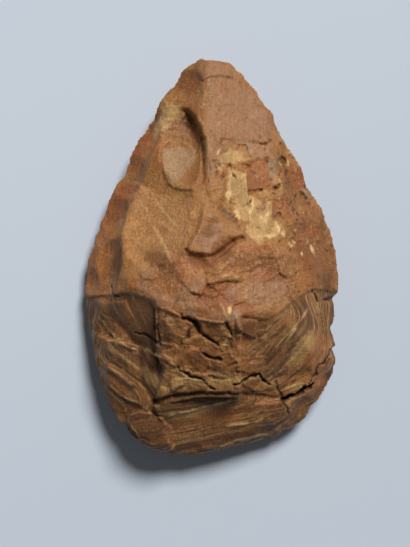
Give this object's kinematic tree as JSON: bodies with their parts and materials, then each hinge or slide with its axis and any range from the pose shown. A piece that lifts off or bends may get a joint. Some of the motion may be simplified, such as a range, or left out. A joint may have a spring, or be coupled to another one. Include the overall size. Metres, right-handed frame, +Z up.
{
  "type": "stone hand axe",
  "caption": "Pear-shaped prehistoric hand axe flaked from banded stone, with a blunt tip, scalloped sharp margins and a stepped, cracked butt.",
  "frame": {"origin": "under the middle of the outline, on the surface the axe lies on", "axes": "+Y from the butt to the tip, +Z up out of the ridged face, +X to the right as seen from above"},
  "size_m": [0.0906, 0.14, 0.0419],
  "materials": {
    "banded_stone": "matt, warm brown silicified stone with pale yellow laminations"
  },
  "bodies": {
    "root": {"hand_axe": "banded_stone"}
  },
  "joints": []
}
